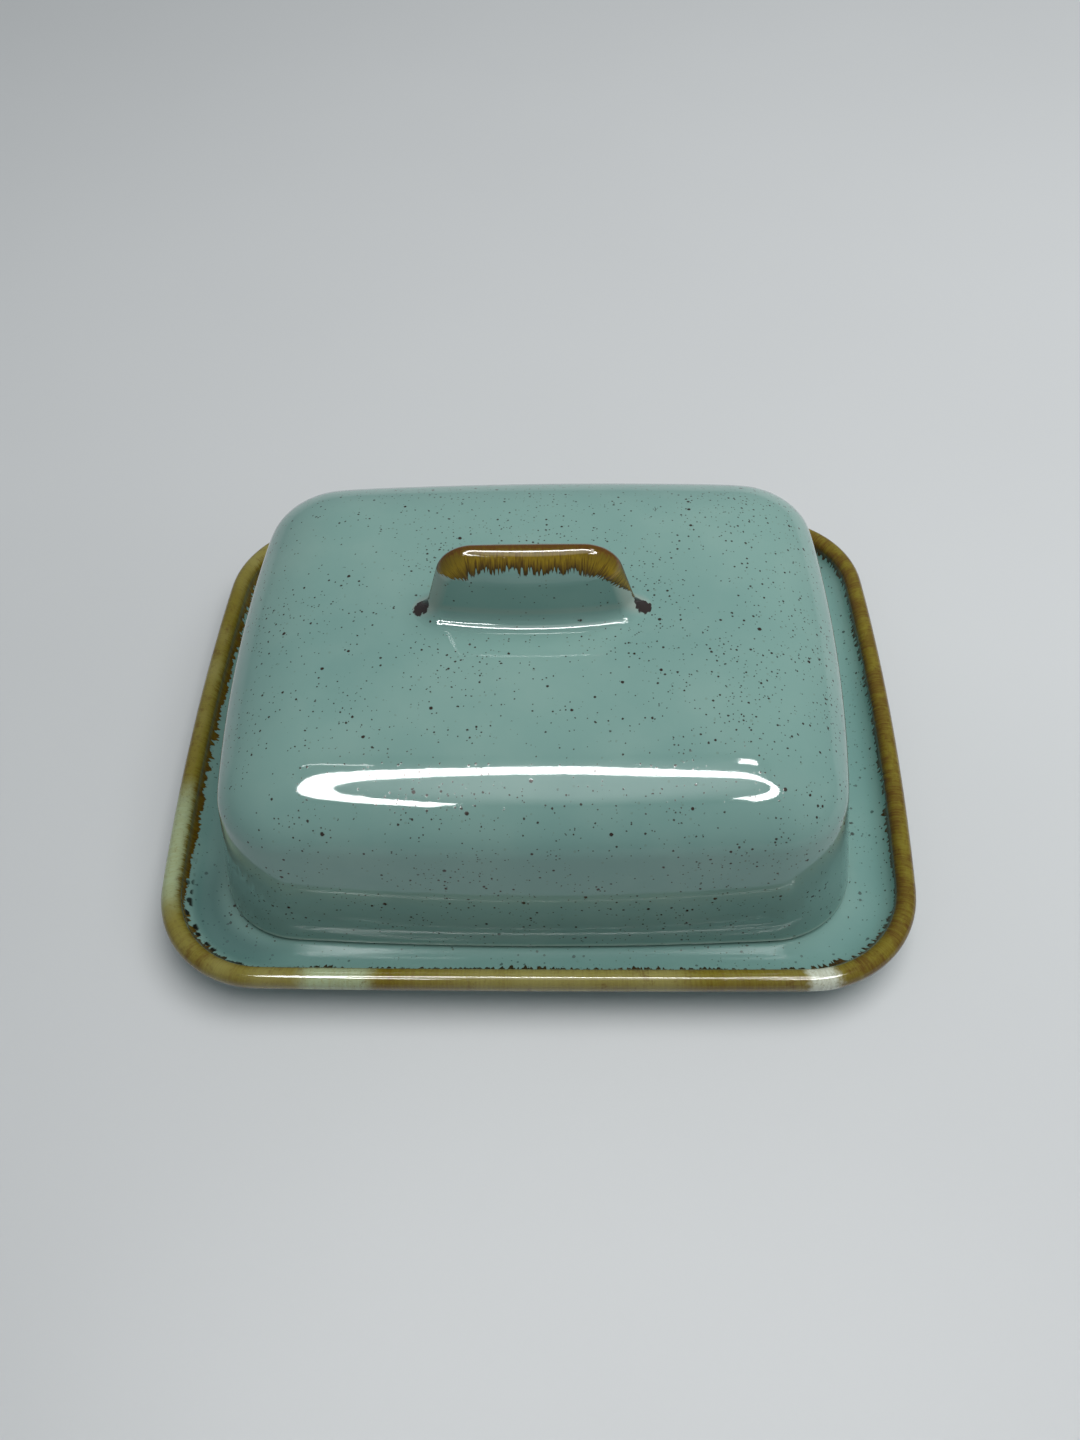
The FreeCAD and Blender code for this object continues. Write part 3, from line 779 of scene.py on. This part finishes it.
# %% Glaze the dish
def glaze_dish():
    """Turquoise with a brown rim, pale where it was rubbed, bare under the foot."""
    glaze = Glaze("turquoise with a brown rim")
    ground, dark = turquoise(glaze, 0.8)
    run, far = run_of(glaze)
    place = glaze.place()
    side = part_of(glaze, run, "X")
    # the glass pools where the wall turns into the floor
    pool = glaze.step(far, 6.0, 9.0) * (1 - glaze.step(far, 12.0, 16.0))
    ground = glaze.mix(pool * 0.4, ground, TURQUOISE_DEEP)
    corner = spot(glaze, place, -74.0, 14.0, 16.0, "X")
    corner = corner * spot(glaze, place, -56.0, 14.0, 16.0, "Y")
    ground = glaze.mix(corner * pool * 0.55, ground, colour(60, 96, 94))
    # the wash ran inwards, and a little way down the outside
    streak = glaze.noise(glaze.stretched(run, (1, 1, 0.08)), 0.45, 2.0, 0.7)
    streak = glaze.step(streak, 0.25, 0.75)
    along = glaze.stretched(run, (1, 1, 0))
    bold = glaze.step(glaze.noise(glaze.moved(along, (9, 9, 0)), 30.0, 2.0), 0.42, 0.6)
    ragged = teeth_of(glaze, run, 1.1, 1.0)
    stops = ((0.0, OLIVE), (0.3, STRAW), (0.58, GOLD), (0.84, UMBER), (0.97, TAR))
    # it reached furthest along the front, and least on the right
    front_run = 1.4 * glaze.step(0 - part_of(glaze, run, "Y"), 50.0, 68.0)
    short_run = 1.5 * glaze.step(side, 70.0, 84.0)
    left = 1 - glaze.step(side, -86.0, -76.0)
    inward = 6.2 + front_run - short_run + ragged * (0.9 + bold * 0.9) - corner * 0.9
    outward = 6.5 + ragged * 0.8
    inner, inner_amount = brown(glaze, far, inward, streak, stops, left * 0.3)
    outer_stops = ((0.0, OLIVE), (0.4, STRAW), (0.75, GOLD), (1.0, UMBER))
    outer, outer_amount = brown(glaze, 0 - far, outward, streak, outer_stops)
    wash = glaze.mix(far < 0.0, inner, outer)
    amount = inner_amount * outer_amount
    wash = glaze.mix(streak * 0.22, wash, GOLD)
    mottle = glaze.step(glaze.noise(glaze.moved(place, (5, 6, 7)), 0.9, 4.0, 0.75), 0.52, 0.7)
    wash = glaze.mix(mottle * 0.45, wash, colour(78, 56, 6))
    # paler along the front and the left, where it drained
    drained = glaze.noise(glaze.moved(along, (3, 60, 0)), 24.0, 2.0)
    drained = glaze.step(drained, 0.35, 0.65) * (1 - glaze.step(side, 30.0, 80.0))
    crest = 1 - glaze.step(far + streak, 1.8, 3.6)
    wash = glaze.mix(drained * crest * 0.35, wash, colour(170, 168, 112))
    # rust where it lay thick, mostly on the right
    rust = glaze.noise(glaze.moved(run, (33, 8, 0)), 7.0, 4.0, 0.75)
    rust = glaze.step(rust + glaze.step(side, 40.0, 88.0) * 0.1, 0.52, 0.68)
    wash = glaze.mix(rust * (0.25 + streak * 0.5), wash, colour(84, 50, 8))
    # and bare, pale glass where it was rubbed off
    front = part_of(glaze, run, "Y") < -60.0
    wavy = glaze.moved(run, glaze.scaled(glaze.noise(run, 3.0, 3.0, 0.7, out="Color"), 4.0))
    rubbed = (spot(glaze, wavy, -42.0, 7.5, 5.0, "X") * front * 0.75).most(
        spot(glaze, wavy, 67.0, 3.4, 2.0, "X") * front
    ).most(spot(glaze, wavy, -36.0, 16.0, 12.0, "Y") * (side < -70.0) * 0.75)
    rubbed = rubbed * (0.7 + streak * 0.3) * (1 - glaze.step(far + streak * 1.4, 2.0, 4.0))
    rubbed = rubbed * (1 - mottle * 0.5)
    pale = glaze.mix(side > 50.0, colour(172, 190, 154), colour(206, 212, 196))
    wash = glaze.mix(rubbed, wash, pale)
    base = glaze.mix(amount, ground, wash)
    # in the front left corner the iron broke away into separate drops
    drops = specks(glaze, run, 2.4, 1.6, 2.6, 0.85, 7.0)
    drops = drops * corner * glaze.step(far, 4.8, 5.4) * (1 - glaze.step(far, 7.0, 7.8))
    base = glaze.mix(drops, base, TAR)
    # the foot ring stands bare
    height = part_of(glaze, place, "Z")
    bare = 1 - glaze.step(height + glaze.noise(place, 2.0) * 0.5, 1.1, 1.4)
    base = glaze.mix(bare, base, CLAY)
    # the knife and the butter have dulled the floor
    worn = glaze.step(far, 8.0, 11.0) * 0.13
    rough = GLOSS + bare * BARE + dark * RUSTY + amount * streak * 0.06 + worn
    ripple = glaze.noise(place, 6.0, 2.0)
    return fire(glaze, base, rough, ripple + streak * amount * 0.2 + dark * 0.3)


dish.data.materials.append(glaze_dish())

# %% [markdown]
# ## Glazing the cover
#
# The cover is turquoise inside and out. Glass flows off a sharp edge, so it is pale
# over the lip's outer edge, and the potter wipes the face that the cover stands on, or
# it would stick to the shelf. Two bands of the distance run give both.

# %% Glaze the cover
def glaze_cover():
    """Turquoise, thin over the lip, with a bare face to stand on."""
    glaze = Glaze("turquoise cover")
    ground, dark = turquoise(glaze)
    run, far = run_of(glaze)
    place = glaze.place()
    # thin over the lip's edge, and wiped off the face that it stands on
    uneven = far + glaze.noise(place, 3.0) * 0.6
    thin = glaze.step(far, 0.3, 1.0) * (1 - glaze.step(uneven, 1.5, 2.4))
    base = glaze.mix(thin * 0.8, ground, TURQUOISE_THIN)
    bare = glaze.step(far, -0.5, -0.1) * (1 - glaze.step(far, 0.15, 0.3))
    base = glaze.mix(bare, base, CLAY)
    rough = GLOSS + bare * BARE + dark * RUSTY
    ripple = glaze.noise(place, 6.0, 2.0)
    return fire(glaze, base, rough, ripple + dark * 0.3)


cover.data.materials.append(glaze_cover())

# %% [markdown]
# ## Glazing the handle
#
# The handle was dipped upside down in the iron wash. It breaks to rust on the ridge,
# runs golden down both faces and stops in a fringe, which reaches furthest under the
# two shoulders. Where each end meets the crown, a blot of iron gathered in the nook.

# %% Glaze the handle
BLOTS_AT = ((-25.0, 1.1, SEAT + 3.0), (27.1, 1.1, SEAT + 3.0))


def glaze_handle():
    """Turquoise with a brown top that ran, pale ends, and a blot at each foot."""
    glaze = Glaze("turquoise with a brown top")
    ground, dark = turquoise(glaze, 0.35)
    run, far = run_of(glaze)
    place = glaze.place()
    end = part_of(glaze, run, "X")
    level = part_of(glaze, place, "Z")
    sideways = glaze.node("ShaderNodeMath", {"operation": "ABSOLUTE"}, {0: end})
    streak = glaze.noise(glaze.stretched(run, (1, 1, 0.1)), 0.42, 2.0, 0.7)
    streak = glaze.step(streak, 0.25, 0.75)
    ragged = teeth_of(glaze, run, 0.62, 1.2)
    # the wash reaches furthest below the two shoulders and fades down the ends
    over_top = 5.2 + 2.6 * glaze.step(sideways, 8.0, 19.0)
    left_down = 0.5 + 8.0 * glaze.step(level + ragged * 0.6, 68.6, 69.4)
    right_down = 0.7 + (0.62 * (level - 61.0)).most(0.0)
    ends = {0: end > 0.0, 2: left_down, 3: right_down}
    down = glaze.node("ShaderNodeMix", {"data_type": "FLOAT"}, ends)
    reach = over_top.least(down) + ragged * (0.3 + 1.0 * glaze.step(level, 62.0, 70.0))
    stops = (
        (0.0, colour(98, 66, 10)),
        (0.2, STRAW),
        (0.45, colour(138, 114, 16)),
        (0.72, colour(106, 82, 6)),
        (0.93, UMBER),
    )
    wash, amount = brown(glaze, far, reach.most(0.25), streak, stops)
    wash = glaze.mix(glaze.step(streak, 0.45, 1.0) * 0.7, wash, colour(84, 60, 4))
    # the glaze breaks to rust over the ridge
    rust = (1 - glaze.step(far, 0.2, 1.4)) * 0.34 + glaze.noise(place, 0.7, 3.0, 0.75)
    behind = glaze.step(part_of(glaze, place, "Y"), 0.6, 1.9)
    rust = glaze.step(rust + behind * 0.25, 0.6, 0.95)
    wash = glaze.mix(rust * 0.75, wash, colour(84, 50, 8))
    # thin, pale glass along the ends and above the flare
    thin = (1 - glaze.step(far, 2.5, 6.0)) * glaze.step(sideways, 17.0, 20.0)
    low = glaze.step(level, SEAT + 2.6, SEAT + 3.6)
    low = low * (1 - glaze.step(level, SEAT + 4.0, SEAT + 5.5))
    ground = glaze.mix(thin.most(low * 0.5) * 0.75, ground, colour(160, 170, 160))
    base = glaze.mix(amount, ground, wash)
    # a blot of iron where each end meets the cover
    shaken = glaze.moved(place, glaze.scaled(glaze.noise(place, 0.9, 2.0, 0.6, out="Color"), 1.8))
    for middle in BLOTS_AT:
        ends = {0: shaken, 1: middle}
        away = glaze.node("ShaderNodeVectorMath", {"operation": "DISTANCE"}, ends, out="Value")
        base = glaze.mix(1 - glaze.step(away, 2.5, 2.8), base, colour(48, 40, 38))
    rough = GLOSS + dark * RUSTY + amount * streak * 0.06
    ripple = glaze.noise(place, 6.0, 2.0)
    return fire(glaze, base, rough, ripple + streak * amount * 0.2 + dark * 0.3)


handle.data.materials.append(glaze_handle())

# %% [markdown]
# ## The table
#
# The dish stands on white paper that is wide enough for no edge of it to show. A
# single plane would do, and does. Faint clouds keep it from being one dead colour. The
# table, like the lamps below, belongs to the set and not to the object.

# %% The table
TABLE_REACH = 3000  # mm from the dish to the paper's edge


def paint(name, base, rough):
    """Matt paint with faint clouds in it."""
    glaze = Glaze(name)
    cloud = glaze.noise(glaze.place(), 160.0, 3.0)
    shade = glaze.mix(cloud, base, tuple(c * 0.94 for c in base[:3]) + (1,))
    sockets = {"Base Color": shade, "Roughness": rough}
    surface = glaze.node("ShaderNodeBsdfPrincipled", None, sockets)
    glaze.node("ShaderNodeOutputMaterial", None, {"Surface": surface})
    return glaze.material


def sheet(name, points, faces, material):
    """A sheet of the set, its points in mm."""
    mesh = bpy.data.meshes.new(name)
    mesh.from_pydata(np.asarray(points) * MM, [], faces)
    thing = bpy.data.objects.new(name, mesh)
    bpy.context.scene.collection.objects.link(thing)
    mesh.materials.append(material)
    print("sheet", name, [round(side / MM) for side in thing.dimensions], "mm")
    return thing


def rectangle(name, centre, half_x, half_y, material):
    """A level rectangle of the set."""
    signs = ((-1, -1), (1, -1), (1, 1), (-1, 1))
    corners = [np.array(centre) + (half_x * x, half_y * y, 0) for x, y in signs]
    return sheet(name, corners, [(0, 1, 2, 3)], material)


white_paper = paint("white paper", colour(206, 208, 209), 0.6)
rectangle("table", (0, 0, 0), TABLE_REACH, TABLE_REACH, white_paper)

# %% [markdown]
# ## The sky
#
# Matt clay and paper are lit by whatever is bright around them. Part of that is an
# even, slightly blue white from everywhere, as inside a light tent. An image of a room
# could give it too, but would put its windows into the glaze. The standard tone curve
# is chosen because the usual one greys strong colours, and this glaze is one.

# %% The sky
SKY, SKY_STRENGTH = (0.88, 0.96, 1.0, 1), 0.25
world = bpy.data.worlds.new("light tent")
bpy.context.scene.world = world
world.use_nodes = True
sky = world.node_tree.nodes["Background"].inputs
sky["Color"].default_value, sky["Strength"].default_value = SKY, SKY_STRENGTH
bpy.context.scene.view_settings.view_transform = "Standard"
print("sky", SKY[:3], "times", SKY_STRENGTH)

# %% [markdown]
# ## What the glaze shows
#
# A glossy glaze shows its room, so the room is built as well. The tent's roof has an
# opening that is edged with a flat oval ring of lamps, and the glaze shows that ring as
# the long bright loop along the shoulder. A lamp in Blender can't be a ring, but a
# sheet that glows can have any shape. Matt surfaces and the camera don't see it, so
# its shape and power set the highlight and leave the light on the table alone.

# %% The ring of lamps
WHITE, BLACK = (1, 1, 1, 1), (0, 0, 0, 1)
RING_STEPS = 96
# the ring's right end goes further right and back, and gets flatter, to a blunt point
DRAWN_RIGHT, DRAWN_BACK, FLATTER = 18, 15, 0.58


def glow(glaze, shine, power):
    """The last step of a recipe for something that only shines."""
    light = glaze.node("ShaderNodeEmission", None, {"Color": shine, "Strength": power})
    glaze.node("ShaderNodeOutputMaterial", None, {"Surface": light})
    return glaze.material


def lamp_ring(centre, half_x, half_y, wide_x, wide_y, start, end, power):
    """A flat oval ring of lamps from one angle to another. Its front stays open, so
    that someone can lean in."""
    points, faces = [], []
    for i in range(RING_STEPS + 1):
        a = math.radians(start + (end - start) * i / RING_STEPS)
        right = max(0, math.cos(a))
        flat = 1 - FLATTER * right if a > 0 else 1
        for side in (-0.5, 0.5):
            x = centre[0] + (half_x + DRAWN_RIGHT * right + side * wide_x) * math.cos(a)
            sway = (half_y + side * wide_y) * flat * math.sin(a)
            points.append((x, centre[1] + DRAWN_BACK * right**2 + sway, centre[2]))
    for i in range(RING_STEPS):
        faces.append((2 * i, 2 * i + 1, 2 * i + 3, 2 * i + 2))
    ring = sheet("lamp_ring", points, faces, glow(Glaze("lamps"), WHITE, power))
    ring.visible_camera = ring.visible_diffuse = False


size = {"half_x": 131, "half_y": 76, "wide_x": 34, "wide_y": 25}
lamp_ring((8, -142, 280), **size, start=-51, end=240, power=34.0)

# %% [markdown]
# ## Small lamps and a lit cloth
#
# Two more things show in the glaze: a small lamp behind the ring's right end, and a
# bright seam of the tent on the left. Over the ring hangs its lit cloth, which fades
# towards the edge and lays a faint veil round the loop.

# %% Small lamps and the lit cloth
def unseen(thing):
    """Only the glaze sees the thing, and it casts no shadow."""
    thing.visible_camera = thing.visible_diffuse = thing.visible_shadow = False


def small_lamp(name, centre, half_x, half_y, power):
    """A small rectangular lamp."""
    unseen(rectangle(name, centre, half_x, half_y, glow(Glaze(name), WHITE, power)))


def roof_cloth(centre, half_x, half_y, power):
    """The lit white cloth over the ring of lamps, fading towards its edge."""
    glaze = Glaze("lit cloth")
    away = glaze.stretched(glaze.place(), (1 / half_x, 1 / half_y, 0))
    away = glaze.moved(away, (-centre[0] / half_x, -centre[1] / half_y, 0))
    away = glaze.node("ShaderNodeVectorMath", {"operation": "LENGTH"}, {0: away}, out="Value")
    shine = glaze.mix(glaze.step(away, 0.3, 1.0), WHITE, BLACK)
    unseen(rectangle("roof_cloth", centre, half_x, half_y, glow(glaze, shine, power)))


small_lamp("side_lamp", (98, -47, 280), half_x=15, half_y=7.5, power=34.0)
small_lamp("tent_seam", (-106, -54, 280), half_x=27, half_y=1.1, power=16.0)
roof_cloth((8, -120, 281), half_x=150, half_y=100, power=2.6)

# %% [markdown]
# ## The soft lamp
#
# The rest of the light comes from a disk a metre wide, a metre above the table and a
# little to the right. A small lamp would draw a hard shadow, and a tent gives a soft
# one. In the glaze the disk would be a grey patch, so reflections don't see it.

# %% The soft lamp
DISK_SIZE, DISK_ENERGY, DISK_PLACE = 1.0, 10.8, (0.36, 0.0, 1.0)  # metres, watts, metres
lamp = bpy.data.lights.new("tent_roof", "AREA")
lamp.shape, lamp.size, lamp.energy = "DISK", DISK_SIZE, DISK_ENERGY
roof = bpy.data.objects.new("tent_roof", lamp)
roof.location = DISK_PLACE
roof.visible_glossy = False
bpy.context.scene.collection.objects.link(roof)
print("soft lamp of", DISK_ENERGY, "W at", DISK_PLACE)

# %% [markdown]
# ## The camera
#
# The camera leans over the front of the dish, a finger's width right of its middle, and
# looks down at the cover. A camera in Blender looks along its own -Z, with its own Y
# upright, so its matrix is built from three directions: right, upright and backwards.
# Euler angles would do too, but a turn, a tilt and a lean are easier to read.

# %% The camera
CAMERA_PLACE = (0.0148, -0.1933, 0.2691)  # metres
YAW, PITCH, ROLL = (math.radians(angle) for angle in (-4.27, 52.83, -3.67))
camera_data = bpy.data.cameras.new("camera")
camera_data.sensor_width, camera_data.lens = 36.0, 31.25
camera_data.clip_start = 0.01
camera = bpy.data.objects.new("camera", camera_data)
ahead = np.array([
    math.sin(YAW) * math.cos(PITCH),
    math.cos(YAW) * math.cos(PITCH),
    -math.sin(PITCH),
])
level = np.array([math.cos(YAW), -math.sin(YAW), 0])
upward = np.cross(level, ahead)
right = math.cos(ROLL) * level + math.sin(ROLL) * upward
upright = -math.sin(ROLL) * level + math.cos(ROLL) * upward
turned = Matrix([[right[k], upright[k], -ahead[k]] for k in range(3)]).to_4x4()
turned.translation = CAMERA_PLACE
camera.matrix_world = turned
bpy.context.scene.collection.objects.link(camera)
bpy.context.scene.camera = camera
print("camera at", [round(at / MM) for at in CAMERA_PLACE], "mm, lens", camera_data.lens, "mm")

# %% [markdown]
